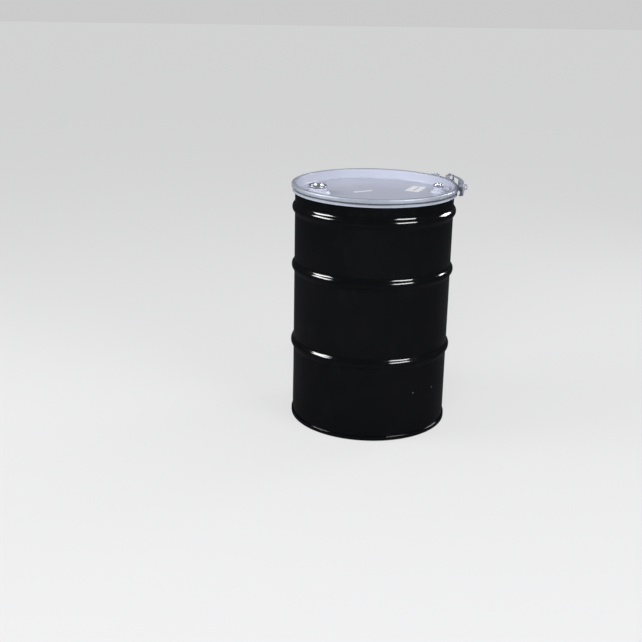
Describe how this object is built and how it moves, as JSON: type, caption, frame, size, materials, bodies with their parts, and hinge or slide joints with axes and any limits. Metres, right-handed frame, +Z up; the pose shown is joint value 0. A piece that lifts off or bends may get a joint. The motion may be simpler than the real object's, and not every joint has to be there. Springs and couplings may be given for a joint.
{
  "type": "open-head steel drum",
  "caption": "Steel drum with three beads, a sunk cover with two screw bungs, and a lever-lock closing ring that clamps the cover on.",
  "frame": {"origin": "on the floor at the centre of the bottom chime, on the drum's axis", "axes": "+Z up along the drum's axis; +X towards the small (3/4 inch) bung, so the 2 inch bung is towards -X; the latch stands between +X and +Y"},
  "size_m": [0.6314, 0.6007, 0.8994],
  "materials": {
    "body_paint": "gloss black enamel",
    "cover_paint": "gloss pale blue-grey enamel",
    "galvanised": "zinc-plated sheet, lightly weathered",
    "zinc_plug": "bright zinc plate",
    "rivet_steel": "bright steel",
    "gasket_rubber": "matt",
    "sealant": "matt",
    "label_paper": "blank self-adhesive film"
  },
  "bodies": {
    "drum": {"body_shell": "body_paint", "bottom_head": "body_paint", "chime_sealant": "sealant"},
    "cover": {"lid_panel": "cover_paint", "lid_gasket": "gasket_rubber", "main_flange": "zinc_plug", "main_flange_gasket": "gasket_rubber", "vent_flange": "zinc_plug", "vent_flange_gasket": "gasket_rubber", "label_strip": "label_paper", "label_card": "label_paper"},
    "closing_ring": {"ring_band": "galvanised", "lever_bracket": "galvanised", "keeper_bracket": "galvanised", "hasp_staple": "galvanised", "pivot_rivets": "rivet_steel"},
    "lever": {"lever": "galvanised", "link_pin": "rivet_steel"},
    "link": {"link_strap": "galvanised", "link_crossbar": "rivet_steel"},
    "main_washer": {"main_plug_gasket": "gasket_rubber"},
    "main_plug": {"main_plug": "zinc_plug"},
    "vent_washer": {"vent_plug_gasket": "gasket_rubber"},
    "vent_plug": {"vent_plug": "zinc_plug"}
  },
  "joints": [
    {"name": "cover_lift", "type": "slide", "parent": "drum", "child": "cover", "axis": [0, 0, 1], "range_m": [0, 0.25]},
    {"name": "ring_lift", "type": "slide", "parent": "cover", "child": "closing_ring", "axis": [0, 0, 1], "range_m": [0, 0.15], "deforming": ["ring_band"]},
    {"name": "lever_swing", "type": "hinge", "parent": "closing_ring", "child": "lever", "pos_m": [0.29863, 0.09703, 0.8795], "axis": [0, 0, 1], "range_deg": [0, 150]},
    {"name": "link_turn", "type": "hinge", "parent": "lever", "child": "link", "pos_m": [0.30496, 0.06786, 0.8795], "axis": [0, 0, 1], "range_deg": [-150, 0]},
    {"name": "main_bung_rise", "type": "slide", "parent": "cover", "child": "main_washer", "axis": [0, 0, 1], "range_m": [0, 0.01381]},
    {"name": "main_bung_turn", "type": "hinge", "parent": "main_washer", "child": "main_plug", "pos_m": [-0.207, 0, 0.8655], "axis": [0, 0, 1], "range_deg": [0, 2250]},
    {"name": "vent_bung_rise", "type": "slide", "parent": "cover", "child": "vent_washer", "axis": [0, 0, 1], "range_m": [0, 0.01361]},
    {"name": "vent_bung_turn", "type": "hinge", "parent": "vent_washer", "child": "vent_plug", "pos_m": [0.235, 0, 0.8655], "axis": [0, 0, 1], "range_deg": [0, 2700]}
  ],
  "couplings": [
    {"joint": "link_turn", "follows": "lever_swing", "ratio": -1},
    {"joint": "main_bung_rise", "follows": "main_bung_turn", "m_per_rad": 0.00035152},
    {"joint": "vent_bung_rise", "follows": "vent_bung_turn", "m_per_rad": 0.00028875}
  ]
}
